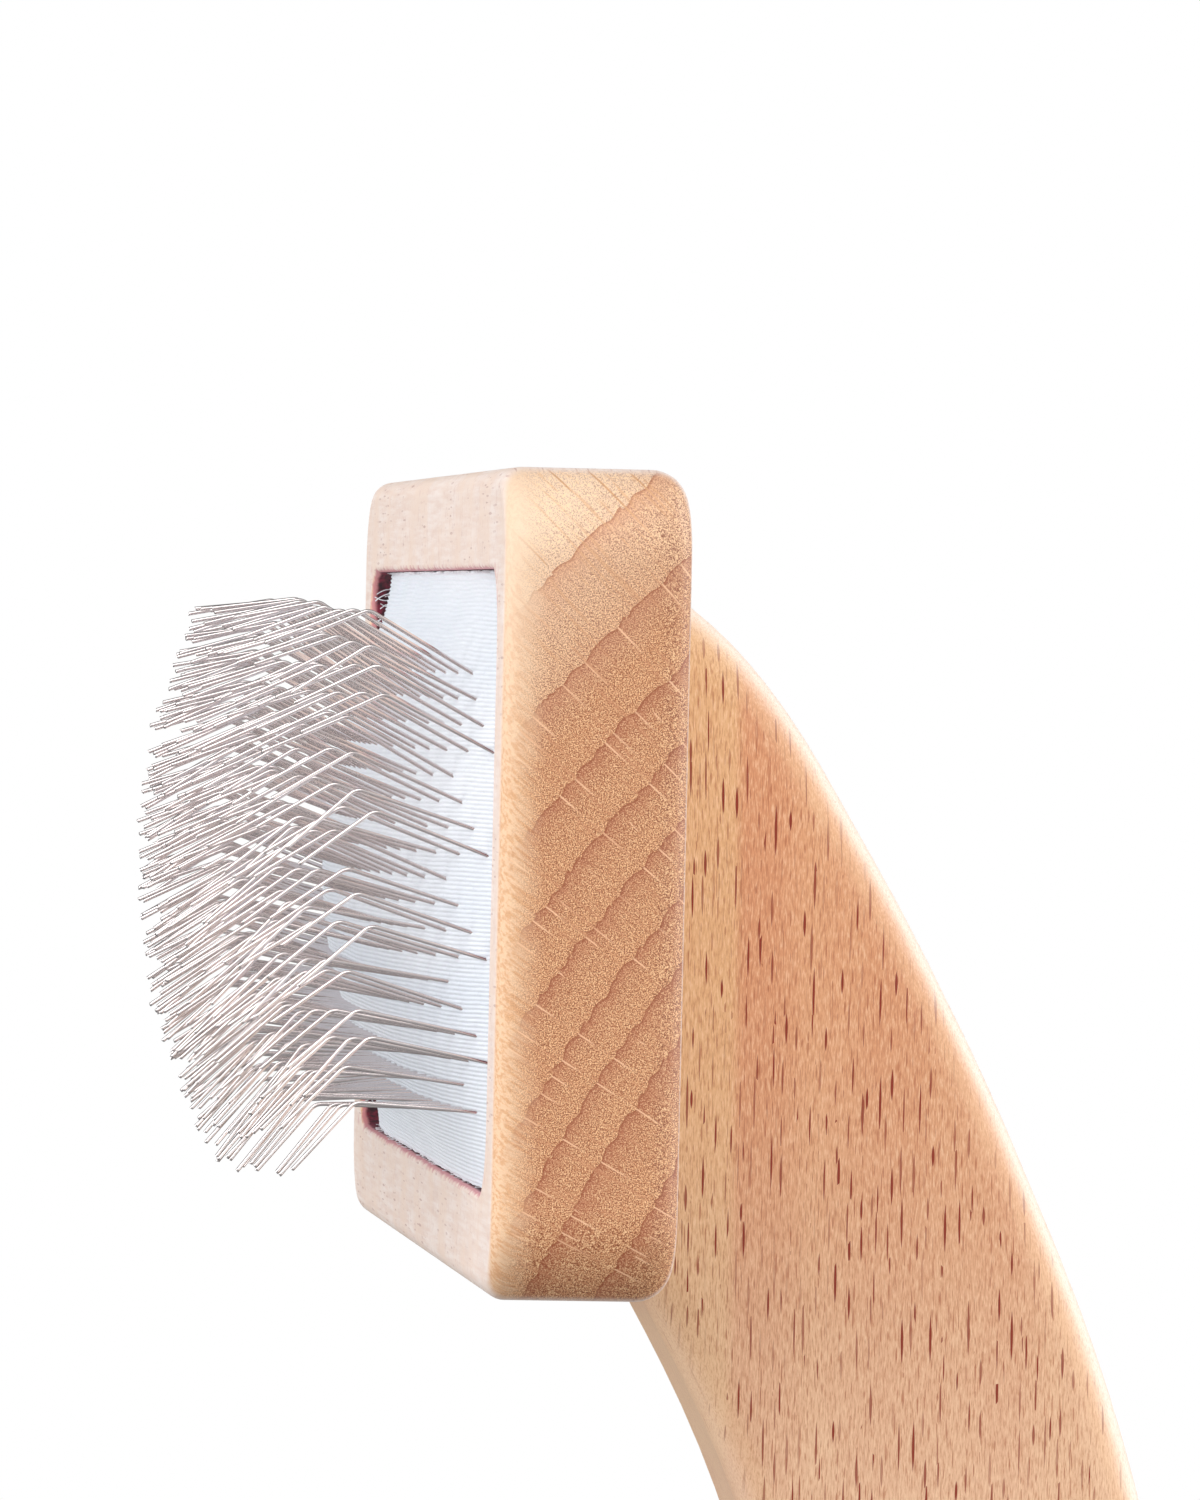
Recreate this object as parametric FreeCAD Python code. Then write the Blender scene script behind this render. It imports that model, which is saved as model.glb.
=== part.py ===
import FreeCAD, Part
import math
import os

from FreeCAD import Vector

# Slicker brush for pets.  Millimetres.
# -X is the side the wire pins point to, +X is the back of the head,
# Y runs along the width of the head, Z runs up the height of the head.
# The origin is the centre of the hand grip on the handle.

# Head block (beech)
HEAD_WIDTH = 110.0
HEAD_HEIGHT = 55.0
HEAD_THICKNESS = 12.5
HEAD_CORNER_R = 6.0
FRONT_EDGE_R = 1.5
BACK_EDGE_R = 2.4
BACK_X = -30.5
HEAD_Z = 90.0
FRONT_X = BACK_X - HEAD_THICKNESS

# Pocket in the front face that holds the pad
POCKET_WIDTH = 99.0
POCKET_HEIGHT = 41.5
POCKET_DEPTH = 6.5
POCKET_CORNER_R = 4.5
POCKET_RIM_R = 0.4
FLOOR_X = FRONT_X + POCKET_DEPTH

# Handle (beech board set on edge), outline points as
# (distance behind the head block, height above the middle of the head)
HANDLE_THICKNESS = 19.0
HANDLE_EDGE_R = 3.2
HANDLE_BACK_EDGE = [
    (0.0, 21.9), (2.8, 20.3), (5.4, 18.5), (7.9, 16.4), (11.1, 12.9), (14.1, 8.7),
    (16.7, 4.4), (20.2, -1.5), (24.1, -8.7), (27.1, -14.6), (30.0, -20.9), (33.3, -28.4),
    (36.5, -36.9), (39.2, -46.0), (42.0, -58.0), (43.9, -71.0), (44.6, -84.0),
    (44.2, -98.0), (43.0, -110.0),
]
HANDLE_FRONT_EDGE = [
    (16.2, -110.0), (17.0, -97.0), (17.0, -84.0), (16.0, -70.5), (13.9, -57.5), (10.6, -46.0),
    (7.0, -37.6), (3.5, -31.1), (0.0, -24.9),
]
BUTT_T = 29.2
BUTT_H = -121.7
BUTT_R = 13.3

# Countersunk wood screws that hold the handle to the head
SCREW_HEIGHTS = (2.5, -17.0)
SCREW_LENGTH = 18.0
SCREW_HEAD_D = 7.8
SCREW_THREAD_D = 4.0
SCREW_CORE_D = 2.8
SCREW_PITCH = 1.6
SCREW_SINK = 0.4
CROSS_WIDTH = 0.9
CROSS_SPAN = 4.2
CROSS_DEPTH = 1.7

# Pad: a domed cushion under four plies of cloth that carry the wire staples
PAD_GAP = 0.2
PAD_WIDTH = POCKET_WIDTH - 2.0 * PAD_GAP
PAD_HEIGHT = POCKET_HEIGHT - 2.0 * PAD_GAP
PAD_CORNER_R = POCKET_CORNER_R - PAD_GAP
DOME_RISE = 6.48
DOME_POWER_Z = 2.35
DOME_POWER_Y = 2.81
EDGE_SINK = 0.4
END_SINK = 1.0
FACE_PLY = 0.8
CORE_PLY = 0.7
BACKING_PLY = 0.7
FELT_PLY = 0.8
CUSHION_GAP = 0.08

# Wire staples
WIRE_D = 0.26
ROW_COUNT = 18
ROW_PITCH = 1.72
TOP_ROW_Z = 13.8
STAPLES_PER_ROW = 11
LEG_PITCH = 3.95
STAPLE_PITCH = 2.0 * LEG_PITCH
ROW_SHIFT = STAPLE_PITCH / 4.0
FIRST_LEG_Y = -39.9
ROOT_TO_KNEE = 8.15
KNEE_TO_TIP = 6.1
KNEE_BEND = 47.3
BEND_PER_MM = -0.13
BASE_LEAN = 18.25
LEAN_PER_MM = 0.59
LEAN_PER_MM_MIDDLE = 0.63
KNEE_R = 0.9
CROWN_R = 0.4

OUT_DIR = "parts"


def save(shape, name):
    shape.exportStep(OUT_DIR + "/" + name + ".step")


def head_point(t, y, h):
    """Point given by distance behind the head, width and height from the head's middle."""
    return Vector(BACK_X + t, y, HEAD_Z + h)


def rounded_slab(width, height, corner_r, x0, x1):
    """Rectangle in Y and Z with round corners, centred on the head, from x0 to x1."""
    box = Part.makeBox(x1 - x0, width, height, Vector(x0, -width / 2.0, HEAD_Z - height / 2.0))
    corners = [e for e in box.Edges if abs(e.tangentAt(e.FirstParameter).x) > 0.99]
    return box.makeFillet(corner_r, corners)


def edges_at_x(shape, x):
    """Edges that lie wholly in the plane at x."""
    found = []
    for edge in shape.Edges:
        box = edge.BoundBox
        if abs(box.XMin - x) < 1e-4 and abs(box.XMax - x) < 1e-4:
            found.append(edge)
    return found


# ---------------------------------------------------------------- screws

def screw_profile():
    """Half section of one screw as (distance from the top of the head, radius)."""
    head_r = SCREW_HEAD_D / 2.0
    thread_r = SCREW_THREAD_D / 2.0
    core_r = SCREW_CORE_D / 2.0
    neck = 0.4 + head_r - thread_r
    points = [(0.0, 0.0), (0.0, head_r), (0.4, head_r), (neck, thread_r), (neck + 3.6, thread_r)]
    position = neck + 4.2
    while position + SCREW_PITCH < SCREW_LENGTH - 2.6:
        points.append((position, core_r))
        points.append((position + 0.5 * SCREW_PITCH, thread_r))
        position += SCREW_PITCH
    points.append((position, core_r))
    points.append((SCREW_LENGTH, 0.15))
    points.append((SCREW_LENGTH, 0.0))
    return points


def make_screw(height):
    x0 = FLOOR_X + SCREW_SINK
    z0 = HEAD_Z + height
    outline = [Vector(x0 + d, 0.0, z0 + r) for d, r in screw_profile()]
    outline.append(outline[0])
    face = Part.Face(Part.makePolygon(outline))
    screw = face.revolve(Vector(x0, 0.0, z0), Vector(1, 0, 0), 360.0)
    for angle in (45.0, 135.0):
        corner = Vector(x0 - 0.1, -CROSS_SPAN / 2.0, z0 - CROSS_WIDTH / 2.0)
        slot = Part.makeBox(CROSS_DEPTH + 0.1, CROSS_SPAN, CROSS_WIDTH, corner)
        slot.rotate(Vector(x0, 0.0, z0), Vector(1, 0, 0), angle)
        screw = screw.cut(slot)
    return screw


def screw_hole_in_head(height):
    """Clearance hole with a countersink, open to the pocket floor."""
    z0 = HEAD_Z + height
    hole = Part.makeCylinder(2.15, 20.0, Vector(FLOOR_X - 1.0, 0.0, z0), Vector(1, 0, 0))
    head_r = SCREW_HEAD_D / 2.0 + 0.1
    mouth_depth = SCREW_SINK + 0.4
    mouth = Part.makeCylinder(head_r, mouth_depth + 1.0, Vector(FLOOR_X - 1.0, 0.0, z0), Vector(1, 0, 0))
    cone_start = Vector(FLOOR_X + mouth_depth, 0.0, z0)
    cone = Part.makeCone(head_r, 2.15, head_r - 2.15, cone_start, Vector(1, 0, 0))
    return hole.fuse([mouth, cone])


def screw_hole_in_handle(height):
    """Pilot hole the thread bites into."""
    depth = SCREW_SINK + SCREW_LENGTH + 0.6 - (HEAD_THICKNESS - POCKET_DEPTH)
    start = Vector(BACK_X - 0.5, 0.0, HEAD_Z + height)
    return Part.makeCylinder(SCREW_CORE_D / 2.0, depth + 0.5, start, Vector(1, 0, 0))


# ---------------------------------------------------------------- wood

def make_head_block():
    block = rounded_slab(HEAD_WIDTH, HEAD_HEIGHT, HEAD_CORNER_R, FRONT_X, BACK_X)
    block = block.makeFillet(FRONT_EDGE_R, edges_at_x(block, FRONT_X))
    block = block.makeFillet(BACK_EDGE_R, edges_at_x(block, BACK_X))
    pocket = rounded_slab(POCKET_WIDTH, POCKET_HEIGHT, POCKET_CORNER_R, FRONT_X - 1.0, FLOOR_X)
    block = block.cut(pocket)
    rim = []
    for edge in edges_at_x(block, FRONT_X):
        box = edge.BoundBox
        inside_y = max(abs(box.YMin), abs(box.YMax)) < POCKET_WIDTH / 2.0 + 0.1
        inside_z = max(abs(box.ZMin - HEAD_Z), abs(box.ZMax - HEAD_Z)) < POCKET_HEIGHT / 2.0 + 0.1
        if inside_y and inside_z:
            rim.append(edge)
    block = block.makeFillet(POCKET_RIM_R, rim)
    for height in SCREW_HEIGHTS:
        block = block.cut(screw_hole_in_head(height))
    return block


def handle_outline():
    """Closed outline at the near side: one smooth curve and the flat that meets the head."""
    curve_points = list(HANDLE_BACK_EDGE)
    for degrees in range(0, 181, 30):
        a = math.radians(degrees)
        curve_points.append((BUTT_T + BUTT_R * math.cos(a), BUTT_H - BUTT_R * math.sin(a)))
    curve_points += HANDLE_FRONT_EDGE
    y0 = -HANDLE_THICKNESS / 2.0
    points = [head_point(t, y0, h) for t, h in curve_points]
    curve = Part.BSplineCurve()
    curve.interpolate(points)
    flat = Part.makeLine(points[-1], points[0])
    return Part.Wire([curve.toShape(), flat])


def make_handle():
    board = Part.Face(handle_outline()).extrude(Vector(0.0, HANDLE_THICKNESS, 0.0))
    long_edges = [e for e in board.Edges if e.Length > 100.0]
    handle = board.makeFillet(HANDLE_EDGE_R, long_edges)
    for height in SCREW_HEIGHTS:
        handle = handle.cut(screw_hole_in_handle(height))
    return handle


# ---------------------------------------------------------------- pad

def dome_height(y, z):
    """How far the pad's face stands proud of the head's front face."""
    across = max(1.0 - abs(2.0 * z / POCKET_HEIGHT) ** DOME_POWER_Z, 0.0) ** 1.5
    along = 1.0 - abs(2.0 * y / POCKET_WIDTH) ** DOME_POWER_Y
    return DOME_RISE * across * along - EDGE_SINK - END_SINK * abs(2.0 * y / POCKET_WIDTH) ** 6


def dome_face(depth):
    """Domed surface at a depth below the pad's face, a little larger than the pad."""
    rows = []
    for i in range(29):
        y = (i / 28.0 - 0.5) * POCKET_WIDTH
        row = []
        for j in range(13):
            z = (j / 12.0 - 0.5) * POCKET_HEIGHT
            row.append(Vector(FRONT_X - dome_height(y, z) + depth, y, HEAD_Z + z))
        rows.append(row)
    surface = Part.BSplineSurface()
    surface.interpolate(rows)
    return surface.toShape()


def pad_outline(x0, x1):
    return rounded_slab(PAD_WIDTH, PAD_HEIGHT, PAD_CORNER_R, x0, x1)


def make_ply(depth, thickness):
    sheet = dome_face(depth).extrude(Vector(thickness, 0.0, 0.0))
    return sheet.common(pad_outline(FRONT_X - 10.0, FLOOR_X + 5.0))


def make_cushion(depth):
    filled = dome_face(depth).extrude(Vector(20.0, 0.0, 0.0))
    return filled.common(pad_outline(FRONT_X - 10.0, FLOOR_X))


# ---------------------------------------------------------------- pins

def rounded_path(points, radii):
    """Wire of straight runs with an arc of the given radius at each inner corner."""
    edges = []
    start = points[0]
    for i in range(1, len(points) - 1):
        corner = points[i]
        back = (points[i - 1] - corner).normalize()
        ahead = (points[i + 1] - corner).normalize()
        half = back.getAngle(ahead) / 2.0
        reach = radii[i - 1] / math.tan(half)
        arc_start = corner + back * reach
        arc_end = corner + ahead * reach
        inward = (back + ahead).normalize()
        to_arc = radii[i - 1] / math.sin(half) - radii[i - 1]
        edges.append(Part.makeLine(start, arc_start))
        edges.append(Part.Arc(arc_start, corner + inward * to_arc, arc_end).toShape())
        start = arc_end
    edges.append(Part.makeLine(start, points[-1]))
    return Part.Wire(edges)


def leg_lean(y, z):
    """Upward lean of a leg, which follows the dome: more at the top, less at the bottom."""
    middle = 1.0 - (2.0 * y / POCKET_WIDTH) ** 2
    return BASE_LEAN + z * (LEAN_PER_MM + LEAN_PER_MM_MIDDLE * middle)


def leg_points(y, z):
    """Tip, knee and crown corner of one leg rooted in the pad at y and z."""
    root = Vector(FRONT_X - dome_height(y, z), y, HEAD_Z + z)
    lean = math.radians(leg_lean(y, z))
    lower = Vector(-math.cos(lean), 0.0, math.sin(lean))
    bent = lean - math.radians(KNEE_BEND + BEND_PER_MM * y)
    upper = Vector(-math.cos(bent), 0.0, math.sin(bent))
    knee = root + lower * ROOT_TO_KNEE
    tip = knee + upper * KNEE_TO_TIP
    crown_depth = FACE_PLY + CORE_PLY + BACKING_PLY + WIRE_D / 2.0
    slope = dome_height(y, z + 0.5) - dome_height(y, z - 0.5)
    crown = root - lower * (crown_depth / (math.cos(lean) - slope * math.sin(lean)))
    return tip, knee, crown


def make_staple(y, z):
    """One wire bent to a U, with both legs kneed toward the handle."""
    tip_a, knee_a, crown_a = leg_points(y, z)
    tip_b, knee_b, crown_b = leg_points(y + LEG_PITCH, z)
    points = [tip_a, knee_a, crown_a, crown_b, knee_b, tip_b]
    path = rounded_path(points, [KNEE_R, CROWN_R, CROWN_R, KNEE_R])
    direction = knee_a - tip_a
    section = Part.Wire(Part.makeCircle(WIRE_D / 2.0, tip_a, direction))
    return path.makePipeShell([section], True, True)


def make_pin_row(index):
    z = TOP_ROW_Z - index * ROW_PITCH
    first_y = FIRST_LEG_Y - (index % 4) * ROW_SHIFT
    staples = [make_staple(first_y + i * STAPLE_PITCH, z) for i in range(STAPLES_PER_ROW)]
    return Part.makeCompound(staples)


def main():
    os.makedirs(OUT_DIR, exist_ok=True)
    save(make_head_block(), "head_block")
    save(make_handle(), "handle")
    save(Part.makeCompound([make_screw(h) for h in SCREW_HEIGHTS]), "handle_screws")

    core_depth = FACE_PLY
    backing_depth = core_depth + CORE_PLY
    felt_depth = backing_depth + BACKING_PLY
    cushion_depth = felt_depth + FELT_PLY + CUSHION_GAP
    save(make_ply(0.0, FACE_PLY), "face_cloth")
    save(make_ply(core_depth, CORE_PLY), "core_cloth")
    save(make_ply(backing_depth, BACKING_PLY), "backing_cloth")
    save(make_ply(felt_depth, FELT_PLY), "crown_felt")
    save(make_cushion(cushion_depth), "pad_cushion")

    for index in range(ROW_COUNT):
        save(make_pin_row(index), "pin_row_%02d" % (index + 1))


main()
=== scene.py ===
import math
import random

import bpy
import numpy as np
from mathutils import Matrix, Vector


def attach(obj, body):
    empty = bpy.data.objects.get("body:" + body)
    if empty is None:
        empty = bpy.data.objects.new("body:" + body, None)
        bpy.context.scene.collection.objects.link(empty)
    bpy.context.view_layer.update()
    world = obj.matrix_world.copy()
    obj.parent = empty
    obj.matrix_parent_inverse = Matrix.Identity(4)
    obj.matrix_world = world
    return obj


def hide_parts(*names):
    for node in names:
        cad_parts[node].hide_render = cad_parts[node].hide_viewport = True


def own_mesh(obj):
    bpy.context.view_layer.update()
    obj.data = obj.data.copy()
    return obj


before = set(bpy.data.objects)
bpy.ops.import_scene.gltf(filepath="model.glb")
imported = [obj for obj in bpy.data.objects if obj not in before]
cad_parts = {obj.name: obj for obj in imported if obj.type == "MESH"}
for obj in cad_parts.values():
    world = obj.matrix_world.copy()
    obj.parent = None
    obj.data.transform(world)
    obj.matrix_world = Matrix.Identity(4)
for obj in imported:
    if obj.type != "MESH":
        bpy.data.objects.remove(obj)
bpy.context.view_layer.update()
MM = 0.001

# ---------------------------------------------------------------- sizes, in millimetres
FRONT_X = -43.0
FLOOR_X = -36.5
BACK_X = -30.5
HEAD_Z = 90.0
POCKET_W = 99.0
POCKET_H = 41.5
PAD_W = 98.6
PAD_H = 41.1
PAD_CORNER = 4.3
RAGGED_POWER = 40
DOME_RISE = 6.48
DOME_POWER_Z = 2.35
DOME_POWER_Y = 2.81
DOME_SHOULDER = 1.5
EDGE_SINK = 0.4
END_SINK = 1.4
END_SINK_POWER = 6
PLIES = {"face_cloth": 0.8, "core_cloth": 0.7, "backing_cloth": 0.7, "crown_felt": 0.8}
PAD_DEPTH = sum(PLIES.values())
CROWN_DEPTH = PAD_DEPTH - PLIES["crown_felt"]
RIB_PITCH = 0.3
RIB_DEPTH = 0.095
FOAM_CLEARANCE = 0.16
FOAM_EDGE_R = 0.5
FOAM_LEAST = 0.25
PRESS = 1.0
PRESSED_SHARE = 0.6

THREADS = 420
THREADS_AT_ENDS = 0.6
THREADS_NEAR_PLUS = 0.65
THREAD_STEPS = 8

WIRE_R = 0.14
WIRE_SIDES = 12
ROWS = 18
ROW_PITCH = 1.72
TOP_ROW_Z = 13.8
STAPLES = 11
LEG_PITCH = 3.95
FIRST_LEG_Y = -39.9
ROOT_TO_KNEE = 8.15
KNEE_TO_TIP = 6.1
KNEE_R = 0.9
KNEE_BEND = 47.3
BEND_PER_MM = -0.13
CROWN_R = 0.4
BASE_LEAN = 18.25
LEAN_PER_MM = 0.59
LEAN_PER_MM_MIDDLE = 0.63

# Pith of the head's board, and the growth-ring boundaries counted from it
PITH_X = 50.2
PITH_Z = 23.0
ARC_RADIUS = 110.0
RING_RADII = (86.5, 90.6, 94.8, 99.2, 102.2, 105.0, 108.4, 111.8, 115.5, 120.3, 125.7, 136.0)

# Surroundings: the floor, and the strength of the light from below, above and behind
GROUND_Z = -45.6
GROUND_X = (-1600.0, 1600.0)
GROUND_Y = (-2200.0, 850.0)
WORLD_LOW = 0.36
WORLD_HIGH = 0.68
WORLD_BEHIND = 0.20
STRAIGHT_BEHIND = (0.1066, 0.9942, -0.0122)

# Camera: place in metres, angles in degrees
CAMERA_PLACE = (-0.1098, -0.7381, 0.1074)
CAMERA_AZIMUTH = 6.12
CAMERA_ELEVATION = 0.70
CAMERA_ROLL = 1.28
CAMERA_LENS = 251.9


# ---------------------------------------------------------------- mesh helpers

def new_mesh(name, verts, faces, smooth=True):
    mesh = bpy.data.meshes.new(name)
    mesh.from_pydata((np.asarray(verts) * MM).tolist(), [], faces)
    mesh.update()
    if smooth:
        mesh.polygons.foreach_set("use_smooth", [True] * len(mesh.polygons))
    obj = bpy.data.objects.new(name, mesh)
    bpy.context.collection.objects.link(obj)
    return obj


def grid_faces(rows, cols, start=0, flip=False):
    index = np.arange(rows * cols).reshape(rows, cols) + start
    a, b, c, d = index[:-1, :-1], index[1:, :-1], index[1:, 1:], index[:-1, 1:]
    quads = np.stack([a, b, c, d] if not flip else [a, d, c, b], axis=-1)
    return quads.reshape(-1, 4).tolist()


def border(rows, cols):
    """Vertex indices round the edge of a grid, in order."""
    index = np.arange(rows * cols).reshape(rows, cols)
    sides = (index[0, :], index[1:, -1], index[-1, -2::-1], index[-2:0:-1, 0])
    return np.concatenate(sides).tolist()


def slab(name, front, back):
    """Closed solid between two equal grids of points."""
    rows, cols = front.shape[:2]
    count = rows * cols
    verts = np.concatenate([front.reshape(-1, 3), back.reshape(-1, 3)])
    faces = grid_faces(rows, cols, 0, True) + grid_faces(rows, cols, count)
    ring = border(rows, cols)
    for a, b in zip(ring, ring[1:] + ring[:1]):
        faces.append([a, b, b + count, a + count])
    return new_mesh(name, verts, faces)


def tube(path, radius, sides, tip_cut):
    """Vertices and faces of a round wire along a list of points, cut askew at both ends."""
    path = np.asarray(path)
    steps = np.diff(path, axis=0)
    tangents = np.vstack([steps[:1], steps[1:] + steps[:-1], steps[-1:]])
    tangents /= np.linalg.norm(tangents, axis=1)[:, None]
    side = np.cross(tangents[0], [0.0, 1.0, 0.0])
    side /= np.linalg.norm(side)
    angles = np.linspace(0.0, 2.0 * math.pi, sides, endpoint=False)
    askew = 0.35 * radius
    rings = []
    for i, tangent in enumerate(tangents):
        side = side - tangent * np.dot(side, tangent)
        side /= np.linalg.norm(side)
        other = np.cross(tangent, side)
        ring = path[i] + radius * (np.cos(angles)[:, None] * side + np.sin(angles)[:, None] * other)
        if i == 0:
            ring = ring + np.outer(np.cos(angles + tip_cut), tangent) * askew
        if i == len(tangents) - 1:
            ring = ring + np.outer(np.cos(angles - tip_cut), tangent) * askew
        rings.append(ring)
    verts = np.concatenate(rings)
    faces = []
    for i in range(len(path) - 1):
        for k in range(sides):
            a, b = i * sides + k, i * sides + (k + 1) % sides
            faces.append([a, b, b + sides, a + sides])
    last = (len(path) - 1) * sides
    faces.append(list(range(sides))[::-1])
    faces.append([last + k for k in range(sides)])
    return verts, faces


def wobble(y, z, size, seed):
    """Smooth seeded unevenness over the pad, mostly from -1 to 1."""
    turn = random.Random(seed)
    total = 0.0
    for _ in range(5):
        angle = turn.uniform(0.0, 2.0 * math.pi)
        reach = size * turn.uniform(0.7, 1.6)
        along = y * math.cos(angle) + z * math.sin(angle)
        total = total + np.sin(along * 2.0 * math.pi / reach + turn.uniform(0.0, 6.28))
    return total / 3.5


# ---------------------------------------------------------------- pad

def dome_height(y, z):
    """Height of the face cloth above the head's front, at y and z from the pad's middle."""
    to_side = np.abs(2.0 * z / POCKET_H)
    to_end = np.abs(2.0 * y / POCKET_W)
    across = np.maximum(1.0 - to_side ** DOME_POWER_Z, 0.0) ** DOME_SHOULDER
    along = np.maximum(1.0 - to_end ** DOME_POWER_Y, 0.0)
    return DOME_RISE * across * along - EDGE_SINK - END_SINK * to_end ** END_SINK_POWER


def leg_lean(y, z):
    """Upward lean of a leg in degrees, which follows the dome."""
    in_middle = 1.0 - (2.0 * y / POCKET_W) ** 2
    return BASE_LEAN + z * (LEAN_PER_MM + LEAN_PER_MM_MIDDLE * in_middle)


def pad_grid(ny, nz, inset, ragged, seed):
    """Points in Y and Z that fill the pad's round-cornered outline, denser at the edge."""
    half_w = PAD_W / 2.0 - inset
    half_h = PAD_H / 2.0 - inset
    u = np.linspace(-1.0, 1.0, ny)
    v = np.linspace(-1.0, 1.0, nz)
    # extra grid lines for the rounding of the edge
    edge = np.array([0.9985, 0.996, 0.992])
    u = np.unique(np.concatenate([u, edge, -edge]))
    v = np.unique(np.concatenate([v, edge, -edge]))
    y = u * half_w
    over = np.clip(np.abs(y) - (half_w - PAD_CORNER), 0.0, PAD_CORNER)
    limit = half_h - PAD_CORNER + np.sqrt(np.maximum(PAD_CORNER ** 2 - over ** 2, 0.0))
    zz = v[None, :] * limit[:, None]
    yy = np.repeat(y[:, None], len(v), axis=1)
    # the raggedness dies away quickly inward
    at_end = np.abs(u[:, None]) ** RAGGED_POWER
    at_side = np.abs(v[None, :]) ** RAGGED_POWER
    yy = yy + ragged * wobble(zz, zz * 0.0, 1.9, seed) * at_end
    zz = zz + ragged * wobble(yy, yy * 0.0, 1.7, seed + 1) * at_side
    to_end = (1.0 - np.abs(u[:, None])) * half_w
    to_side = (1.0 - np.abs(v[None, :])) * limit[:, None]
    return yy, zz, np.minimum(to_end, to_side)


def edge_round(to_edge, radius):
    """How far a rounded edge drops, at a distance in from the edge."""
    drop = np.clip(radius - to_edge, 0.0, radius)
    return radius - np.sqrt(np.maximum(radius ** 2 - drop ** 2, 0.0))


def ply(name, node, depth, thickness, ny, nz, ribs=0.0, ragged=0.1, inset=0.0, edge_r=0.25):
    """One domed ply of the pad, with softened and slightly ragged edges."""
    seed = len(name)
    yy, zz, to_edge = pad_grid(ny, nz, inset, ragged, seed)
    x = FRONT_X - dome_height(yy, zz) + depth
    x = x + 0.02 * wobble(yy, zz, 14.0, seed + 2)
    back_x = x + thickness
    round_off = edge_round(to_edge, edge_r)
    if ribs:
        bend = 0.06 * wobble(yy, zz, 14.0, seed + 3) + 0.02 * wobble(yy, zz, 4.0, seed + 4)
        phase = 2.0 * math.pi * (zz + bend) / RIB_PITCH
        x = x + ribs * (0.5 - 0.5 * np.cos(phase)) ** 1.5
    front = np.stack([x + round_off, yy, HEAD_Z + zz], axis=-1)
    back = np.stack([back_x - 0.6 * round_off, yy, HEAD_Z + zz], axis=-1)
    obj = slab(name, front, back)
    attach(obj, "pin_pad")
    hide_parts(node)
    return obj


def cushion():
    """Domed foam between the pocket's floor and the felt."""
    seed = 31
    yy, zz, to_edge = pad_grid(120, 60, 0.1, 0.12, seed)
    depth = PAD_DEPTH + FOAM_CLEARANCE
    lumps = 0.08 * np.maximum(wobble(yy, zz, 8.0, seed), -0.5)
    x = FRONT_X - dome_height(yy, zz) + depth + lumps
    # where the foam is thin it is lower, so that it stays under the felt at full press
    room = FLOOR_X - x
    pressed_room = (room - PRESS) / PRESSED_SHARE - 0.05
    height = np.minimum(room - edge_round(to_edge, FOAM_EDGE_R), pressed_room)
    x = FLOOR_X - np.maximum(height, FOAM_LEAST)
    front = np.stack([x, yy, HEAD_Z + zz], axis=-1)
    back = np.stack([np.full_like(x, FLOOR_X), yy, HEAD_Z + zz], axis=-1)
    obj = slab("cushion_foam", front, back)
    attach(obj, "brush")
    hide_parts("pad_cushion")
    return obj


def edge_threads():
    """Loose warp ends that fray out of the face cloth round the pad's edge."""
    turn = random.Random(11)
    verts, faces, count = [], [], 0
    half_w, half_h = PAD_W / 2.0, PAD_H / 2.0
    for _ in range(THREADS):
        at_end = turn.random() < THREADS_AT_ENDS
        side = 1.0 if turn.random() < THREADS_NEAR_PLUS else -1.0
        if at_end:
            z = turn.uniform(-half_h + 0.7, half_h - 0.7)
            over = max(abs(z) - (half_h - PAD_CORNER), 0.0)
            corner_cut = PAD_CORNER - math.sqrt(PAD_CORNER ** 2 - over ** 2)
            y = side * (half_w - corner_cut - turn.uniform(0.0, 0.12))
            out, along = Vector((0.0, side, 0.0)), Vector((0.0, 0.0, 1.0))
            reach = turn.uniform(0.8, 1.9) if side > 0.0 else turn.uniform(0.15, 0.4)
            thick = turn.uniform(0.03, 0.05)
        else:
            y = turn.uniform(-half_w + 2.5, half_w - 2.5)
            z = side * (half_h - turn.uniform(0.0, 0.08))
            out, along = Vector((0.0, 0.0, side)), Vector((0.0, 1.0, 0.0))
            reach = turn.uniform(0.15, 0.55)
            thick = turn.uniform(0.02, 0.035)
        start = Vector((FRONT_X - float(dome_height(y, z)) + 0.1, y, HEAD_Z + z))
        rise = turn.uniform(0.55, 1.0) * reach
        drift = turn.uniform(-0.4, 0.4) * reach
        curl = turn.uniform(-0.22, 0.22) * reach
        points = []
        for k in range(THREAD_STEPS):
            t = k / (THREAD_STEPS - 1.0)
            sideways = drift * t * t + curl * math.sin(math.pi * t)
            forward = Vector((-rise * t, 0.0, 0.0))
            points.append(start + out * min(t * reach, 0.12) + along * sideways + forward)
        v, f = tube([tuple(p) for p in points], thick, 5, 0.0)
        verts.append(v)
        faces += [[i + count for i in face] for face in f]
        count += len(v)
    obj = new_mesh("edge_threads", np.concatenate(verts), faces)
    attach(obj, "pin_pad")
    return obj


# ---------------------------------------------------------------- pins

def arc_points(before, corner, after, radius, steps):
    """Points of the arc that rounds a corner between two straight runs."""
    back = (before - corner).normalized()
    ahead = (after - corner).normalized()
    half = back.angle(ahead) / 2.0
    reach = radius / math.tan(half)
    start = corner + back * reach
    end = corner + ahead * reach
    inward = (back + ahead).normalized()
    centre = corner + inward * (radius / math.sin(half))
    a, b = start - centre, end - centre
    sweep = a.angle(b)
    points = []
    for k in range(steps + 1):
        t = k / steps
        spoke = (a * math.sin((1.0 - t) * sweep) + b * math.sin(t * sweep)) / math.sin(sweep)
        points.append(centre + spoke)
    return points


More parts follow.
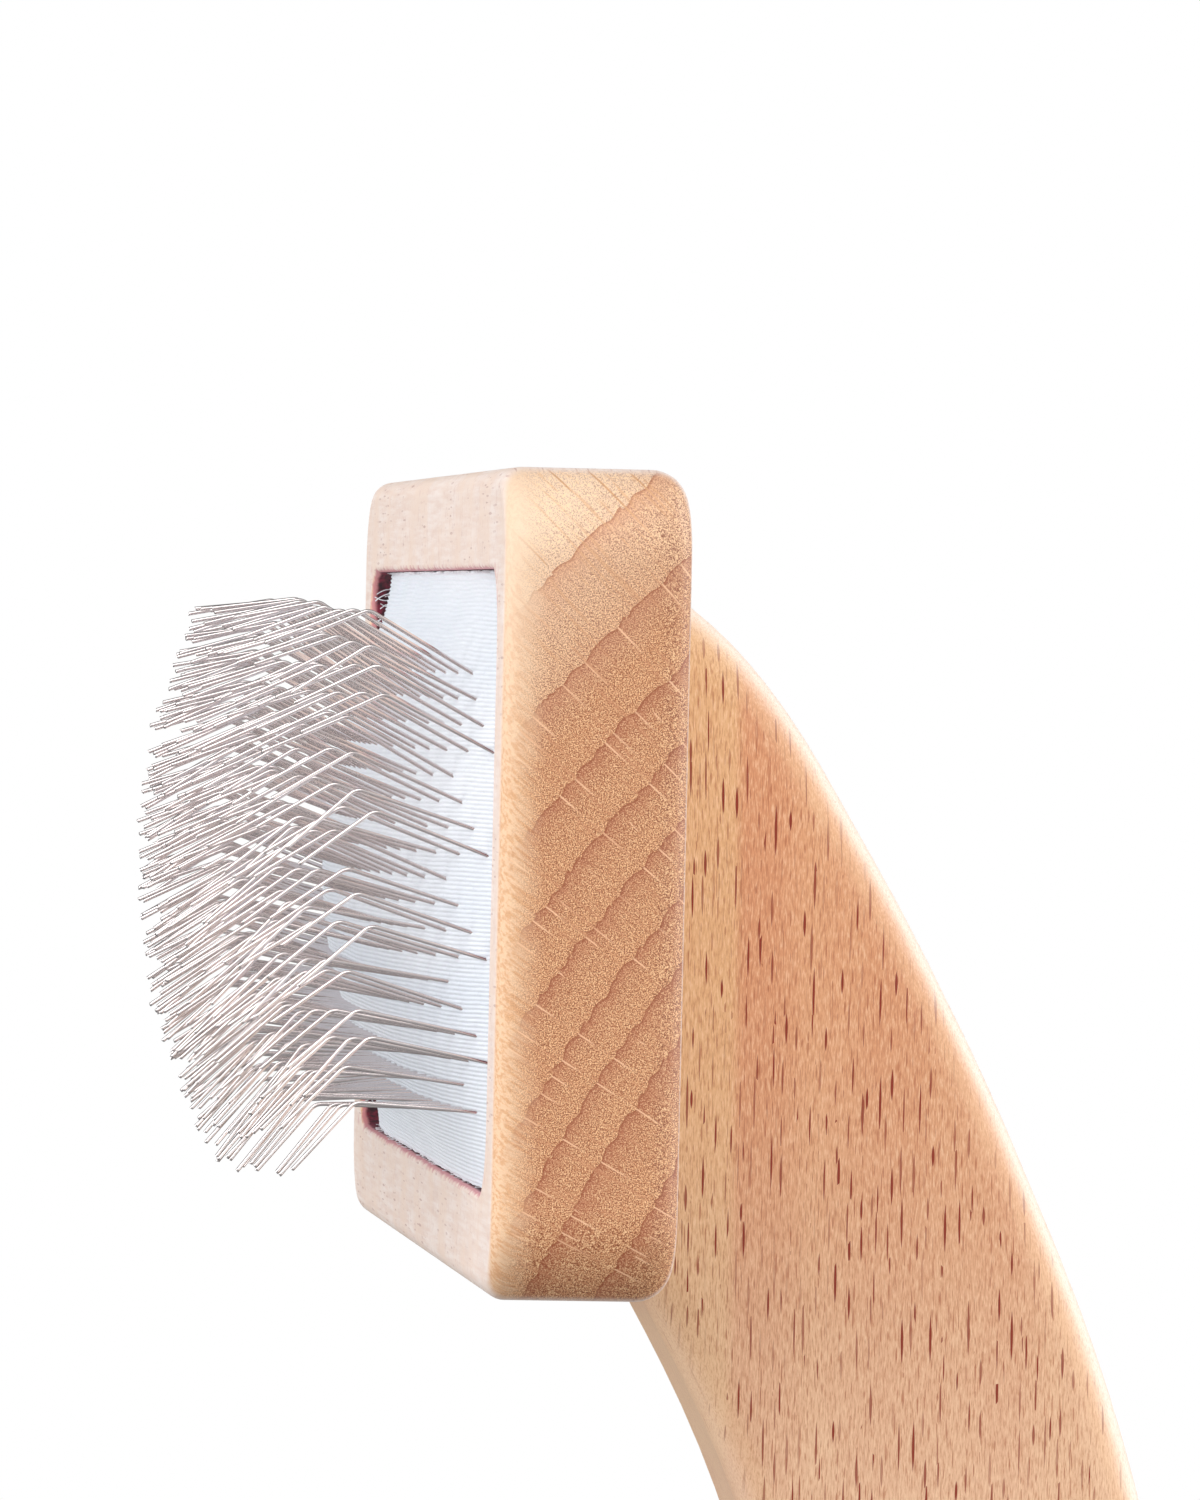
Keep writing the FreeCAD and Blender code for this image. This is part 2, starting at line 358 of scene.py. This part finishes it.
def edge_lean(z):
    """The outermost rows are less well held, and sag by some degrees."""
    if z > TOP_ROW_Z - 0.5 * ROW_PITCH:
        return -1.0
    if z < TOP_ROW_Z - (ROWS - 1.5) * ROW_PITCH:
        return -3.5
    return 0.0


def leg(y, z, set_lean, turn):
    """Tip, knee, root and crown corner of one leg, with the small differences of real wire."""
    root = Vector((FRONT_X - float(dome_height(y, z)), y, HEAD_Z + z))
    lean_deg = leg_lean(y, z) + set_lean + turn.gauss(0.0, 0.8)
    bend_deg = KNEE_BEND + BEND_PER_MM * y + turn.gauss(0.0, 2.6)
    yaw = math.radians(turn.gauss(0.0, 1.8))
    lower_len = ROOT_TO_KNEE + turn.gauss(0.0, 0.15)
    upper_len = KNEE_TO_TIP + turn.gauss(0.0, 0.13)
    # a few wires are knocked out of line
    if turn.random() < 0.07:
        bend_deg += turn.uniform(-5.0, 12.0)
    lean = math.radians(lean_deg)
    bent = math.radians(lean_deg - bend_deg)
    lower = Vector((-math.cos(lean), math.sin(yaw), math.sin(lean))).normalized()
    upper = Vector((-math.cos(bent), math.sin(yaw) * 1.3, math.sin(bent))).normalized()
    knee = root + lower * lower_len
    tip = knee + upper * upper_len
    base = math.radians(leg_lean(y, z))
    slope = float(dome_height(y, z + 0.5) - dome_height(y, z - 0.5))
    inward = Vector((math.cos(base), 0.0, -math.sin(base)))
    crown = root + inward * ((CROWN_DEPTH + WIRE_R) / (math.cos(base) - slope * math.sin(base)))
    return tip, knee, root, crown


def staple_path(y, z, turn):
    """Points along one staple: leg, crown behind the plies, and the other leg."""
    set_lean = turn.gauss(edge_lean(z), 2.6 if z < TOP_ROW_Z else 1.2)
    tip_a, knee_a, root_a, crown_a = leg(y, z, set_lean, turn)
    tip_b, knee_b, root_b, crown_b = leg(y + LEG_PITCH, z, set_lean, turn)
    path = [tip_a, tip_a.lerp(knee_a, 0.02)]
    path += arc_points(tip_a, knee_a, root_a, KNEE_R, 6)
    path += [root_a]
    path += arc_points(root_a, crown_a, crown_b, CROWN_R, 3)
    path += arc_points(crown_a, crown_b, root_b, CROWN_R, 3)
    path += [root_b]
    path += arc_points(root_b, knee_b, tip_b, KNEE_R, 6)
    path += [knee_b.lerp(tip_b, 0.98), tip_b]
    return path


def pin_row(index, material):
    """One row of staples. The rows are staggered by half a leg pitch, and repeat every four."""
    turn = random.Random(100 + index)
    z = TOP_ROW_Z - index * ROW_PITCH
    first = FIRST_LEG_Y - (index % 4) * LEG_PITCH / 2.0
    verts, faces, count = [], [], 0
    for i in range(STAPLES):
        path = staple_path(first + i * 2.0 * LEG_PITCH, z, turn)
        v, f = tube([tuple(p) for p in path], WIRE_R, WIRE_SIDES, turn.uniform(0.0, 6.28))
        verts.append(v)
        faces += [[k + count for k in face] for face in f]
        count += len(v)
    obj = new_mesh("wires_%02d" % (index + 1), np.concatenate(verts), faces)
    obj.data.materials.append(material)
    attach(obj, "pin_pad")
    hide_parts("pin_row_%02d" % (index + 1))


# ---------------------------------------------------------------- shader helpers

def linear(red, green, blue):
    """Display colour, 0 to 255, as linear light."""
    out = []
    for value in (red, green, blue):
        v = value / 255.0
        out.append(v / 12.92 if v <= 0.04045 else ((v + 0.055) / 1.055) ** 2.4)
    return (*out, 1.0)


class Shader:
    """A material's node tree, with short calls for the nodes this scene uses."""

    def __init__(self, name):
        self.material = bpy.data.materials.new(name)
        self.material.use_nodes = True
        self.tree = self.material.node_tree
        self.bsdf = self.tree.nodes["Principled BSDF"]

    def put(self, value, socket):
        if isinstance(value, bpy.types.NodeSocket):
            self.tree.links.new(value, socket)
        else:
            socket.default_value = value

    def coords(self):
        return self.tree.nodes.new("ShaderNodeTexCoord").outputs["Object"]

    def normal(self):
        return self.tree.nodes.new("ShaderNodeNewGeometry").outputs["Normal"]

    def split(self, vector):
        node = self.tree.nodes.new("ShaderNodeSeparateXYZ")
        self.put(vector, node.inputs[0])
        return node.outputs[0], node.outputs[1], node.outputs[2]

    def join(self, x, y, z):
        node = self.tree.nodes.new("ShaderNodeCombineXYZ")
        for value, socket in zip((x, y, z), node.inputs):
            self.put(value, socket)
        return node.outputs[0]

    def math(self, kind, a, b=0.0):
        node = self.tree.nodes.new("ShaderNodeMath")
        node.operation = kind
        for value, socket in zip((a, b), node.inputs):
            self.put(value, socket)
        return node.outputs[0]

    def times(self, a, b):
        return self.math("MULTIPLY", a, b)

    def plus(self, a, b):
        return self.math("ADD", a, b)

    def minus(self, a, b):
        return self.math("SUBTRACT", a, b)

    def over(self, a, b):
        return self.math("DIVIDE", a, b)

    def absolute(self, a):
        return self.math("ABSOLUTE", a)

    def scaled(self, vector, x, y, z):
        a, b, c = self.split(vector)
        return self.join(self.times(a, x), self.times(b, y), self.times(c, z))

    def noise(self, vector, scale, detail=3.0, rough=0.5):
        node = self.tree.nodes.new("ShaderNodeTexNoise")
        self.put(vector, node.inputs["Vector"])
        node.inputs["Scale"].default_value = scale
        node.inputs["Detail"].default_value = detail
        node.inputs["Roughness"].default_value = rough
        return node.outputs["Fac"]

    def uneven(self, vector, scale, amount, detail=3.0):
        """Noise about zero, with the amount as its full reach."""
        return self.times(self.minus(self.noise(vector, scale, detail), 0.5), amount)

    def cells(self, vector, scale=1.0):
        """Outputs of scattered cells: Distance, Color and Position."""
        node = self.tree.nodes.new("ShaderNodeTexVoronoi")
        self.put(vector, node.inputs["Vector"])
        node.inputs["Scale"].default_value = scale
        return node.outputs

    def span(self, value, low, high, to_low=0.0, to_high=1.0, smooth=True):
        """The value's place between low and high, as a number between to_low and to_high."""
        node = self.tree.nodes.new("ShaderNodeMapRange")
        node.interpolation_type = "SMOOTHSTEP" if smooth else "LINEAR"
        self.put(value, node.inputs["Value"])
        node.inputs["From Min"].default_value = low
        node.inputs["From Max"].default_value = high
        node.inputs["To Min"].default_value = to_low
        node.inputs["To Max"].default_value = to_high
        return node.outputs["Result"]

    def mix(self, factor, a, b):
        node = self.tree.nodes.new("ShaderNodeMix")
        node.data_type = "RGBA"
        self.put(factor, node.inputs["Factor"])
        self.put(a, node.inputs[6])
        self.put(b, node.inputs[7])
        return node.outputs[2]

    def bump(self, height, distance, strength):
        node = self.tree.nodes.new("ShaderNodeBump")
        self.put(height, node.inputs["Height"])
        node.inputs["Distance"].default_value = distance
        node.inputs["Strength"].default_value = strength
        return node.outputs["Normal"]

    def finish(self, color, roughness, normal=None, **others):
        self.put(color, self.bsdf.inputs["Base Color"])
        self.put(roughness, self.bsdf.inputs["Roughness"])
        if normal is not None:
            self.put(normal, self.bsdf.inputs["Normal"])
        for key, value in others.items():
            self.put(value, self.bsdf.inputs[key])
        return self.material


# ---------------------------------------------------------------- materials

def spindles(s, across, along, depth, cell, half_width, half_length, least=0.25):
    """Scattered spindle-shaped marks: 1 inside a mark, 0 outside. Lengths in metres."""
    spot = s.join(s.over(across, cell[0]), s.over(along, cell[1]), s.over(depth, 0.03))
    cells = s.cells(spot)
    a, b, _ = s.split(spot)
    ca, cb, _ = s.split(cells["Position"])
    pick, size, tone = s.split(cells["Color"])
    da = s.times(s.minus(a, ca), cell[0] / half_width)
    db = s.times(s.minus(b, cb), cell[1] / half_length)
    da = s.over(da, s.span(tone, 0.0, 1.0, 0.6, 1.3, False))
    db = s.over(db, s.span(size, 0.0, 1.0, 0.45, 1.35, False))
    inside = s.minus(s.minus(1.0, s.times(db, db)), s.absolute(da))
    return s.times(s.span(inside, 0.0, 0.25), s.span(pick, 0.1, 0.75, least, 1.0, False))


def beech_head():
    s = Shader("beech_head")
    place = s.coords()
    x, y, z = s.split(place)
    # place in the log: distance from the pith and length round it
    px = s.minus(x, PITH_X * MM)
    pz = s.minus(z, PITH_Z * MM)
    radius = s.math("SQRT", s.plus(s.times(px, px), s.times(pz, pz)))
    arc = s.times(s.math("ARCTAN2", pz, s.times(px, -1.0)), ARC_RADIUS * MM)
    # rays: narrow cells round the log; the ring edges dip where a ray crosses
    ray_spot = s.join(s.over(arc, 0.0019), s.over(radius, 0.010), s.over(y, 0.05))
    ray_cells = s.cells(ray_spot)
    here, _, _ = s.split(ray_spot)
    centre, _, _ = s.split(ray_cells["Position"])
    pick, _, _ = s.split(ray_cells["Color"])
    off_ray = s.times(s.absolute(s.minus(here, centre)), 1.9)
    dip = s.times(s.span(off_ray, 0.0, 0.9, 1.0, 0.0), 0.00022)
    polar = s.join(arc, s.times(y, 0.1), radius)
    drift = s.uneven(polar, 240.0, 0.0007, 2.0)
    radius = s.plus(radius, s.plus(dip, drift))
    # late runs from 0 to 1 across each ring; line marks the ring's outer edge
    late = None
    line = None
    for inner, outer in zip(RING_RADII[:-1], RING_RADII[1:]):
        inside = s.times(s.math("GREATER_THAN", radius, inner * MM),
                        s.math("LESS_THAN", radius, outer * MM))
        depth = s.minus(outer * MM, radius)
        part = s.times(s.span(depth, 0.0, (outer - inner) * MM, 1.0, 0.0, False), inside)
        edge = s.times(s.span(depth, 0.00004, 0.00020, 1.0, 0.0), inside)
        late = part if late is None else s.plus(late, part)
        line = edge if line is None else s.plus(line, edge)
    pores = s.noise(s.scaled(place, 1.0, 0.12, 1.0), 11500.0, 2.0, 0.8)
    # sapwood at the top front corner is paler than the wood nearer the pith
    sap = s.span(radius, 0.1178, 0.1290, 0.0, 1.0, False)
    early = s.mix(sap, linear(202, 137, 93), linear(246, 217, 190))
    band = s.mix(sap, linear(172, 98, 66), linear(226, 172, 138))
    wood = s.mix(s.math("POWER", late, 2.8), early, band)
    speckle = s.span(late, 0.6, 1.0, 1.0, 0.6)
    dots = s.times(speckle, s.span(sap, 0.3, 1.0, 1.0, 0.5))
    dark_pores = s.times(s.span(pores, 0.50, 0.40, 0.0, 0.95), dots)
    pale_pores = s.times(s.span(pores, 0.51, 0.61, 0.0, 0.85), speckle)
    ring_lines = s.times(line, s.span(sap, 0.0, 1.0, 0.7, 0.35))
    wood = s.mix(dark_pores, wood, linear(124, 62, 34))
    wood = s.mix(pale_pores, wood, linear(254, 216, 168))
    wood = s.mix(ring_lines, wood, linear(148, 78, 44))
    thin = s.times(s.span(off_ray, 0.03, 0.075, 1.0, 0.0), s.span(pick, 0.30, 0.40))
    pale_rays = s.times(thin, s.span(late, 0.45, 0.8, 0.08, 0.75))
    brown_rays = s.times(thin, s.span(sap, 0.3, 0.8, 0.0, 0.75))
    wood = s.mix(pale_rays, wood, linear(248, 200, 160))
    wood = s.mix(brown_rays, wood, linear(200, 146, 100))
    # faint parallel rays between the strong ones
    faint_spot = s.join(arc, s.times(y, 0.1), s.times(radius, 0.03))
    faint = s.span(s.noise(faint_spot, 4200.0, 2.0), 0.44, 0.34, 0.0, 0.5)
    wood = s.mix(faint, wood, s.mix(sap, linear(196, 134, 96), linear(222, 174, 128)))
    # long grain on the front, back, top and bottom
    nx, ny, _ = s.split(s.normal())
    on_front = s.span(s.absolute(nx), 0.5, 0.8)
    front_marks = spindles(s, z, y, x, (0.0006, 0.0031), 0.00009, 0.0010, -0.6)
    top_marks = spindles(s, x, y, z, (0.0006, 0.0031), 0.00007, 0.0010, -0.6)
    marks = s.plus(s.times(front_marks, on_front),
                   s.times(top_marks, s.minus(1.0, on_front)))
    marks = s.times(marks, s.span(s.noise(place, 150.0, 1.0), 0.42, 0.58))
    fibre = s.noise(s.scaled(place, 1.0, 0.05, 1.0), 2400.0, 3.0, 0.6)
    mottle = s.noise(place, 1500.0, 2.0, 0.6)
    pale = s.mix(s.span(fibre, 0.3, 0.7), linear(238, 216, 204), linear(248, 234, 226))
    pale = s.mix(s.span(s.noise(place, 160.0), 0.35, 0.7, 0.0, 0.8), pale, linear(243, 220, 204))
    pale = s.mix(s.span(mottle, 0.45, 0.28, 0.0, 0.35), pale, linear(214, 182, 172))
    pale = s.mix(s.times(marks, 0.55), pale, linear(182, 140, 132))
    # end grain takes over on the end faces and runs round their edges
    end_on = s.span(s.absolute(ny), 0.12, 0.42)
    streak = s.noise(s.join(arc, y, s.times(radius, 0.06)), 4200.0, 2.0, 0.6)
    golden = s.mix(s.span(streak, 0.35, 0.60), linear(224, 172, 128), linear(240, 203, 166))
    golden = s.mix(s.times(sap, 0.7), golden, linear(240, 214, 188))
    # the end faces are a plainer golden colour, without ring marks, in a ragged strip up to about 3
    # mm in from the front
    ragged_front_x = s.plus(x, s.uneven(place, 700.0, 0.0012))
    front_rim = s.span(ragged_front_x, (FRONT_X + 0.4) * MM, (FRONT_X + 3.2) * MM, 0.1, 1.0)
    color = s.mix(end_on, pale, s.mix(front_rim, golden, wood))
    # painted shade: the pocket's walls are painted dark maroon, with a pink band at the mouth,
    # where they fall into shade
    from_middle = s.absolute(s.minus(z, HEAD_Z * MM))
    in_y = s.math("LESS_THAN", s.absolute(y), (POCKET_W / 2.0 + 0.42) * MM)
    in_z = s.math("LESS_THAN", from_middle, (POCKET_H / 2.0 + 0.42) * MM)
    inward = s.plus(x, s.uneven(place, 900.0, 0.0005))
    before = s.math("LESS_THAN", x, (FLOOR_X + 0.6) * MM)
    walls = s.times(s.times(in_y, in_z), before)
    # painted shade: a pink band just inside the mouth, where the wall begins to fall into shade
    painted_mouth_shade = s.span(inward, (FRONT_X - 0.02) * MM, (FRONT_X + 0.2) * MM, 0.0, 0.85)
    color = s.mix(s.times(walls, painted_mouth_shade), color, linear(204, 124, 134))
    # painted shade: dark maroon with darker blotches deeper on the walls, standing for their shadow
    painted_wall_shade = s.times(walls, s.span(inward, (FRONT_X + 0.3) * MM, (FRONT_X + 0.6) * MM))
    blotches = s.span(s.noise(place, 1400.0, 4.0, 0.7), 0.35, 0.65)
    color = s.mix(painted_wall_shade, color, s.mix(blotches, linear(40, 4, 14), linear(128, 28, 52)))
    normal = s.bump(pores, 0.00003, 0.3)
    return s.finish(color, s.span(pores, 0.3, 0.7, 0.5, 0.62), normal)


def beech_handle():
    s = Shader("beech_handle")
    place = s.coords()
    x, y, z = s.split(place)
    across = s.plus(x, s.uneven(s.scaled(place, 1.0, 1.0, 0.5), 26.0, 0.003, 1.0))
    bent = s.join(across, y, z)
    fibre = s.noise(s.scaled(bent, 1.0, 1.0, 0.12), 11500.0, 2.0, 0.7)
    band = s.noise(s.scaled(bent, 1.0, 1.0, 0.03), 130.0, 2.0, 0.5)
    color = s.mix(s.span(band, 0.35, 0.65), linear(218, 154, 112), linear(228, 174, 130))
    off_band = s.absolute(s.minus(across, (BACK_X + 6.0) * MM))
    color = s.mix(s.span(off_band, 0.0022, 0.0033, 0.7, 0.0), color, linear(232, 190, 138))
    color = s.mix(s.span(z, 0.085, 0.040, 0.0, 0.6), color, linear(236, 200, 168))
    color = s.mix(s.span(fibre, 0.50, 0.68, 0.0, 0.55), color, linear(250, 212, 174))
    color = s.mix(s.span(fibre, 0.50, 0.32, 0.0, 0.60), color, linear(188, 120, 82))
    # spindle-shaped rays, large and small
    nx, ny, _ = s.split(s.normal())
    broad = s.span(s.absolute(ny), 0.45, 0.75)
    large = spindles(s, across, z, y, (0.00095, 0.0039), 0.00009, 0.0016, 0.0)
    small = spindles(s, across, s.plus(z, 0.013), y, (0.00050, 0.0019), 0.000055, 0.0007)
    narrow = spindles(s, y, z, across, (0.0010, 0.0046), 0.00008, 0.0015)
    large = s.times(broad, large)
    small = s.times(broad, small)
    narrow = s.times(s.minus(1.0, broad), narrow)
    color = s.mix(s.times(small, 0.6), color, linear(168, 86, 50))
    color = s.mix(large, color, linear(140, 42, 12))
    color = s.mix(s.times(narrow, 0.7), color, linear(166, 92, 54))
    # painted highlight: the rounded edges are painted paler, most of all toward the back
    color = s.mix(s.span(s.absolute(ny), 0.998, 0.92, 0.0, 0.3), color, linear(238, 196, 154))
    # painted highlight: near-white on the edges turned toward the back, as a rim light would catch
    # them, broken up by the fibre
    painted_edge_highlight = s.times(s.span(s.absolute(ny), 0.93, 0.40), s.span(nx, -0.2, 0.2, 0.15, 1.0))
    painted_edge_highlight = s.times(painted_edge_highlight, s.span(fibre, 0.3, 0.6, 0.45, 1.0))
    color = s.mix(painted_edge_highlight, color, linear(252, 236, 222))
    normal = s.bump(s.minus(fibre, large), 0.00003, 0.3)
    return s.finish(color, s.span(fibre, 0.3, 0.7, 0.42, 0.54), normal)


def zinc_steel():
    s = Shader("zinc_steel")
    place = s.coords()
    tone = s.noise(place, 700.0, 3.0)
    color = s.mix(tone, linear(168, 170, 168), linear(206, 206, 200))
    return s.finish(color, s.span(tone, 0.3, 0.7, 0.3, 0.45), Metallic=1.0)


def wire_steel():
    s = Shader("wire_steel")
    place = s.coords()
    tone = s.noise(place, 260.0, 2.0)
    color = s.mix(tone, linear(228, 217, 215), linear(244, 238, 238))
    return s.finish(color, s.span(tone, 0.3, 0.7, 0.13, 0.20), Metallic=1.0)


def white_cloth():
    s = Shader("white_cloth")
    place = s.coords()
    weave = s.noise(s.scaled(place, 1.0, 0.25, 1.0), 7000.0, 2.0, 0.6)
    patch = s.noise(s.scaled(place, 1.0, 0.1, 1.0), 90.0, 2.0)
    color = s.mix(s.span(patch, 0.3, 0.7), linear(222, 228, 237), linear(232, 235, 241))
    color = s.mix(s.span(weave, 0.45, 0.25, 0.0, 0.3), color, linear(196, 203, 216))
    normal = s.bump(weave, 0.00003, 0.5)
    return s.finish(color, 0.85, normal, **{"Sheen Weight": 0.15})


def raw_cloth(name, dark, light, scale=5200.0):
    s = Shader(name)
    place = s.coords()
    weave = s.noise(s.scaled(place, 1.0, 0.5, 1.0), scale, 3.0, 0.65)
    color = s.mix(s.span(weave, 0.3, 0.7), linear(*dark), linear(*light))
    normal = s.bump(weave, 0.00008, 0.8)
    return s.finish(color, 0.92, normal, **{"Sheen Weight": 0.2})


def foam():
    s = Shader("foam")
    place = s.coords()
    pits = s.cells(place, 2600.0)["Distance"]
    color = s.mix(s.span(pits, 0.2, 0.7), linear(40, 12, 20), linear(98, 38, 50))
    normal = s.bump(pits, 0.00012, 0.8)
    return s.finish(color, 0.88, normal)


# ---------------------------------------------------------------- build

def dress(obj, material):
    obj.data.materials.clear()
    obj.data.materials.append(material)


dress(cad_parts["head_block"], beech_head())
dress(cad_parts["handle"], beech_handle())
dress(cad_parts["handle_screws"], zinc_steel())

face_grid = ((200, 760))
face = ply("face_cloth_ribbed", "face_cloth", 0.0, 0.74, *face_grid,
           ribs=RIB_DEPTH, ragged=0.06, inset=-0.12, edge_r=0.12)
dress(face, white_cloth())

core_depth = PLIES["face_cloth"]
core = ply("core_cloth_ply", "core_cloth", core_depth, 0.66, 90, 50, ragged=0.12, inset=0.08)
dress(core, raw_cloth("core_weave", (112, 52, 60), (168, 110, 116)))
backing_depth = core_depth + PLIES["core_cloth"]
backing = ply("backing_cloth_ply", "backing_cloth", backing_depth, 0.66, 90, 50,
              ragged=0.12, inset=0.05)
dress(backing, raw_cloth("backing_weave", (82, 34, 42), (140, 84, 92)))
felt = ply("crown_felt_ply", "crown_felt", CROWN_DEPTH, 0.78, 90, 50, ragged=0.15, inset=0.1)
dress(felt, raw_cloth("felt_fibre", (70, 24, 34), (122, 60, 70), 2400.0))

cushion_obj = cushion()
dress(cushion_obj, foam())
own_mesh(cushion_obj)

threads = edge_threads()
dress(threads, raw_cloth("thread_white", (226, 226, 230), (250, 250, 252)))

steel = wire_steel()
for row in range(ROWS):
    pin_row(row, steel)


# ---------------------------------------------------------------- light, world, camera

def area_light(name, energy, size, place, target):
    data = bpy.data.lights.new(name, "AREA")
    data.shape = "RECTANGLE"
    data.size, data.size_y = size
    data.energy = energy
    obj = bpy.data.objects.new(name, data)
    bpy.context.collection.objects.link(obj)
    obj.location = place
    aim = Vector(target) - Vector(place)
    obj.rotation_euler = aim.to_track_quat("-Z", "Y").to_euler()


def pale_floor():
    """A plain floor just under the butt; it leaves the light on the brush as it is."""
    s = Shader("pale_floor")
    place = s.coords()
    soft = s.noise(place, 9.0, 3.0)
    grain = s.noise(place, 900.0, 2.0)
    color = s.mix(s.span(soft, 0.3, 0.7), linear(226, 225, 222), linear(233, 232, 230))
    s.finish(color, s.span(grain, 0.3, 0.7, 0.55, 0.7), s.bump(grain, 0.0002, 0.2))
    (left, right), (near, far) = GROUND_X, GROUND_Y
    outline = ((left, near), (right, near), (right, far), (left, far))
    corners = [(x, y, GROUND_Z) for x, y in outline]
    obj = new_mesh("floor", corners, [[0, 1, 2, 3]], smooth=False)
    dress(obj, s.material)
    obj.visible_shadow = False
    obj.visible_diffuse = False
    obj.visible_glossy = False


def world_light():
    """A bright room in front of the object, dimmer behind and below, white straight behind."""
    world = bpy.data.worlds.new("studio")
    bpy.context.scene.world = world
    world.use_nodes = True
    tree = world.node_tree
    back = tree.nodes["Background"]
    coords = tree.nodes.new("ShaderNodeTexCoord")
    split = tree.nodes.new("ShaderNodeSeparateXYZ")
    tree.links.new(coords.outputs["Generated"], split.inputs[0])

    def ramp(value, low, high, to_low, to_high):
        node = tree.nodes.new("ShaderNodeMapRange")
        node.interpolation_type = "SMOOTHSTEP"
        if not isinstance(to_low, float):
            tree.links.new(to_low, node.inputs["To Min"])
        else:
            node.inputs["To Min"].default_value = to_low
        tree.links.new(value, node.inputs["Value"])
        for key, number in (("From Min", low), ("From Max", high), ("To Max", to_high)):
            node.inputs[key].default_value = number
        return node.outputs["Result"]

    rise = ramp(split.outputs[2], -0.7, 0.7, WORLD_LOW, WORLD_HIGH)
    side = ramp(split.outputs[1], -0.3, 0.35, rise, WORLD_BEHIND)
    straight = tree.nodes.new("ShaderNodeVectorMath")
    straight.operation = "DOT_PRODUCT"
    tree.links.new(coords.outputs["Generated"], straight.inputs[0])
    straight.inputs[1].default_value = STRAIGHT_BEHIND
    full = ramp(straight.outputs["Value"], 0.985, 0.993, side, 1.0)
    tree.links.new(full, back.inputs["Strength"])
    back.inputs["Color"].default_value = (1.0, 1.0, 1.0, 1.0)


def camera():
    """Long-lens camera to the near side of the head, a little toward the pins."""
    data = bpy.data.cameras.new("camera")
    data.sensor_width = 36.0
    data.lens = CAMERA_LENS
    data.clip_end = 20.0
    obj = bpy.data.objects.new("camera", data)
    bpy.context.collection.objects.link(obj)
    azimuth = math.radians(CAMERA_AZIMUTH)
    elevation = math.radians(CAMERA_ELEVATION)
    roll = math.radians(CAMERA_ROLL)
    level = math.cos(elevation)
    forward = Vector((math.sin(azimuth) * level, math.cos(azimuth) * level, -math.sin(elevation)))
    right = Vector((math.cos(azimuth), -math.sin(azimuth), 0.0))
    up = right.cross(forward)
    tilted_right = right * math.cos(roll) + up * math.sin(roll)
    tilted_up = up * math.cos(roll) - right * math.sin(roll)
    turn = Matrix((tilted_right, tilted_up, -forward)).transposed().to_4x4()
    obj.matrix_world = Matrix.Translation(CAMERA_PLACE) @ turn
    bpy.context.scene.camera = obj


pale_floor()
world_light()
area_light("key", 10.0, (1.3, 1.3), (-0.55, -0.75, 0.72), (-0.03, 0.0, 0.06))
area_light("fill", 4.2, (0.8, 1.0), (0.75, -0.70, -0.05), (0.0, 0.0, 0.05))
area_light("side", 3.2, (0.4, 0.7), (-0.80, 0.10, 0.0), (-0.03, 0.0, 0.08))
area_light("rim", 3.4, (0.3, 0.7), (0.65, 0.20, 0.25), (0.0, 0.0, 0.05))
camera()
scene = bpy.context.scene
scene.view_settings.view_transform = "Standard"
scene.view_settings.look = "None"
